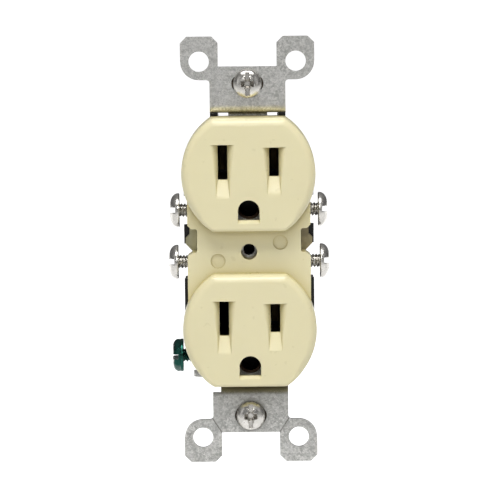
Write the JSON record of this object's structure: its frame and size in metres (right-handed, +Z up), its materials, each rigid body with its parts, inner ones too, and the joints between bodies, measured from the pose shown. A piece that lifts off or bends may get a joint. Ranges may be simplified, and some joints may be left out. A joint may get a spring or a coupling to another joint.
{
  "type": "duplex wall outlet",
  "caption": "Wall outlet with two three-slot faces on a steel strap with ears, side wiring screws, a ground screw and mounting screws.",
  "frame": {"origin": "axis of the cover-plate screw hole, in the plane of the ears' back faces", "axes": "+Z up along the strap, +X right as seen from the front, and the two faces look along -Y"},
  "size_m": [0.0404, 0.026, 0.1068],
  "materials": {
    "galvanised_steel": "spangled zinc coat",
    "ivory_plastic": "moulded, softly glossy",
    "black_plastic": "moulded",
    "brass_strip": "stamped, slightly tarnished",
    "nickel_strip": "stamped, plated",
    "bronze_strip": "stamped spring strip",
    "plated_screw": "bright zinc",
    "green_screw": "green lacquer, worn on the head's face",
    "steel_fastener": "zinc",
    "fibre_card": "pressed fibre"
  },
  "bodies": {
    "receptacle": {"mounting_strap": "galvanised_steel", "front_cover": "ivory_plastic", "back_body": "black_plastic", "hot_terminal_plate": "brass_strip", "neutral_terminal_plate": "nickel_strip", "upper_hot_contact": "brass_strip", "lower_hot_contact": "brass_strip", "upper_neutral_contact": "brass_strip", "lower_neutral_contact": "brass_strip", "upper_ground_contact": "bronze_strip", "lower_ground_contact": "bronze_strip", "upper_ground_rivet": "steel_fastener", "lower_ground_rivet": "steel_fastener", "upper_assembly_screw": "steel_fastener", "lower_assembly_screw": "steel_fastener"},
    "upper_hot_screw": {"upper_hot_screw": "plated_screw"},
    "lower_hot_screw": {"lower_hot_screw": "plated_screw"},
    "upper_neutral_screw": {"upper_neutral_screw": "plated_screw"},
    "lower_neutral_screw": {"lower_neutral_screw": "plated_screw"},
    "ground_screw": {"ground_screw": "green_screw"},
    "upper_washer": {"upper_retaining_washer": "fibre_card"},
    "lower_washer": {"lower_retaining_washer": "fibre_card"},
    "upper_mounting_screw": {"upper_mounting_screw": "plated_screw"},
    "lower_mounting_screw": {"lower_mounting_screw": "plated_screw"}
  },
  "joints": [
    {"name": "upper_hot_travel", "type": "slide", "parent": "receptacle", "child": "upper_hot_screw", "axis": [1, 0, 0], "range_m": [-0.0034, 0.0008]},
    {"name": "lower_hot_travel", "type": "slide", "parent": "receptacle", "child": "lower_hot_screw", "axis": [1, 0, 0], "range_m": [-0.0034, 0.0008]},
    {"name": "upper_neutral_travel", "type": "slide", "parent": "receptacle", "child": "upper_neutral_screw", "axis": [-1, 0, 0], "range_m": [-0.0034, 0.0008]},
    {"name": "lower_neutral_travel", "type": "slide", "parent": "receptacle", "child": "lower_neutral_screw", "axis": [-1, 0, 0], "range_m": [-0.0034, 0.0008]},
    {"name": "ground_travel", "type": "slide", "parent": "receptacle", "child": "ground_screw", "axis": [-1, 0, 0], "range_m": [-0.002, 0.0008]},
    {"name": "upper_washer_shift", "type": "slide", "parent": "receptacle", "child": "upper_washer", "axis": [1, 0, 0], "range_m": [-0.0018, 0.0018]},
    {"name": "lower_washer_shift", "type": "slide", "parent": "receptacle", "child": "lower_washer", "axis": [1, 0, 0], "range_m": [-0.0018, 0.0018]},
    {"name": "upper_mounting_turn", "type": "hinge", "parent": "upper_washer", "child": "upper_mounting_screw", "pos_m": [0, 0, 0.04165], "axis": [0, 1, 0], "continuous": true},
    {"name": "lower_mounting_turn", "type": "hinge", "parent": "lower_washer", "child": "lower_mounting_screw", "pos_m": [0, 0, -0.04165], "axis": [0, 1, 0], "continuous": true}
  ]
}
